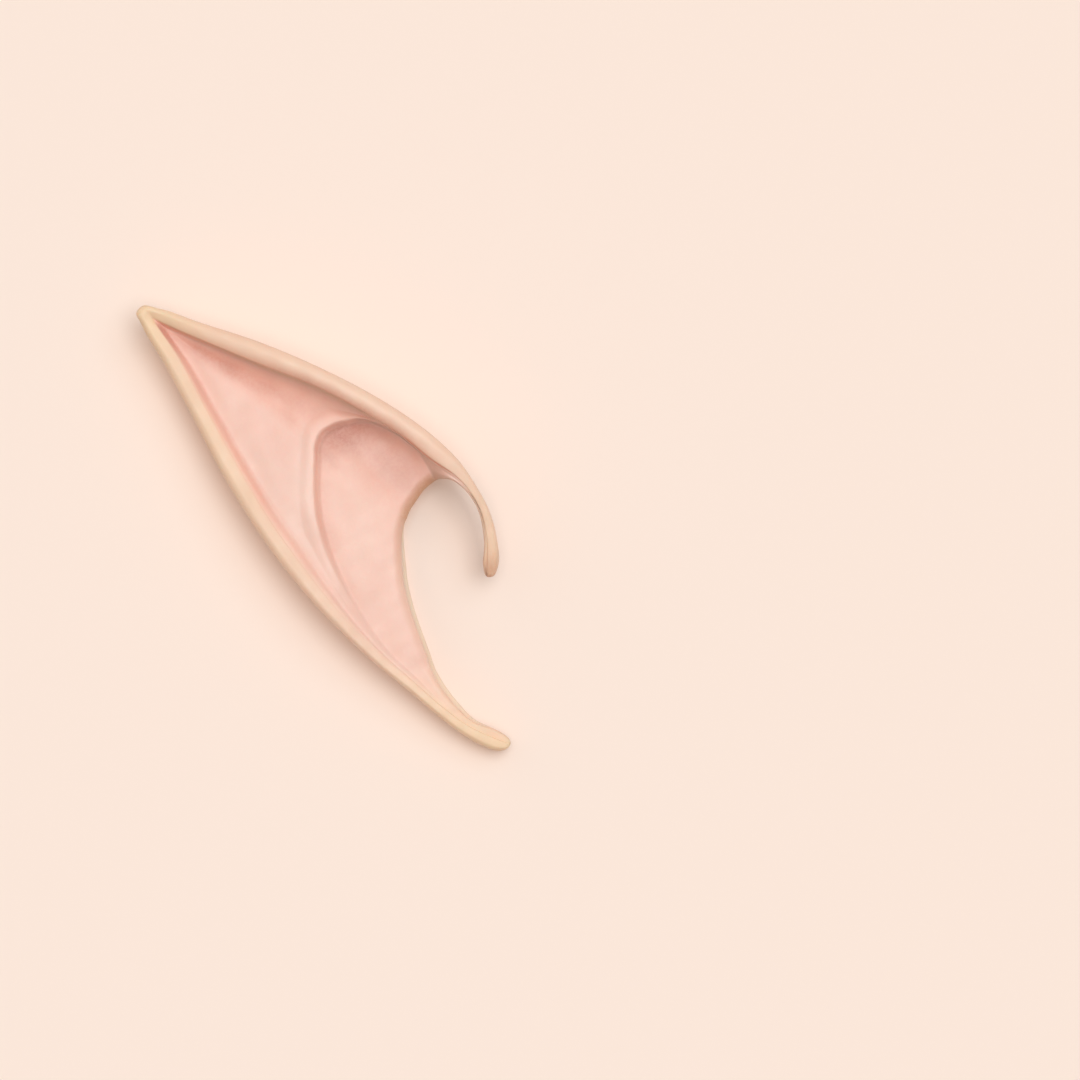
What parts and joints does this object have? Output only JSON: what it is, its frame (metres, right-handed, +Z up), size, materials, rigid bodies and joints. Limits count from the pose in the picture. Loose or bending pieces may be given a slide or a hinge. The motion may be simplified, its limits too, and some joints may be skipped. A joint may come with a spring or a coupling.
{
  "type": "elf ear tip",
  "caption": "Long pointed slip-on ear tip: a one-piece hollow latex shell with a rolled rim, a moulded bowl and fold, a small hook and a slim tail around the opening.",
  "frame": {"origin": "middle of the ear's outline, on the surface that its flat back lies on", "axes": "+Y from the tail end to the tip, +X towards the hook and the wearer's face, +Z up out of the moulded face"},
  "size_m": [0.0424, 0.1202, 0.02],
  "materials": {
    "latex": "satin, flesh-coloured latex airbrushed pink in the hollows"
  },
  "bodies": {
    "root": {"ear_shell": "latex"}
  },
  "joints": []
}
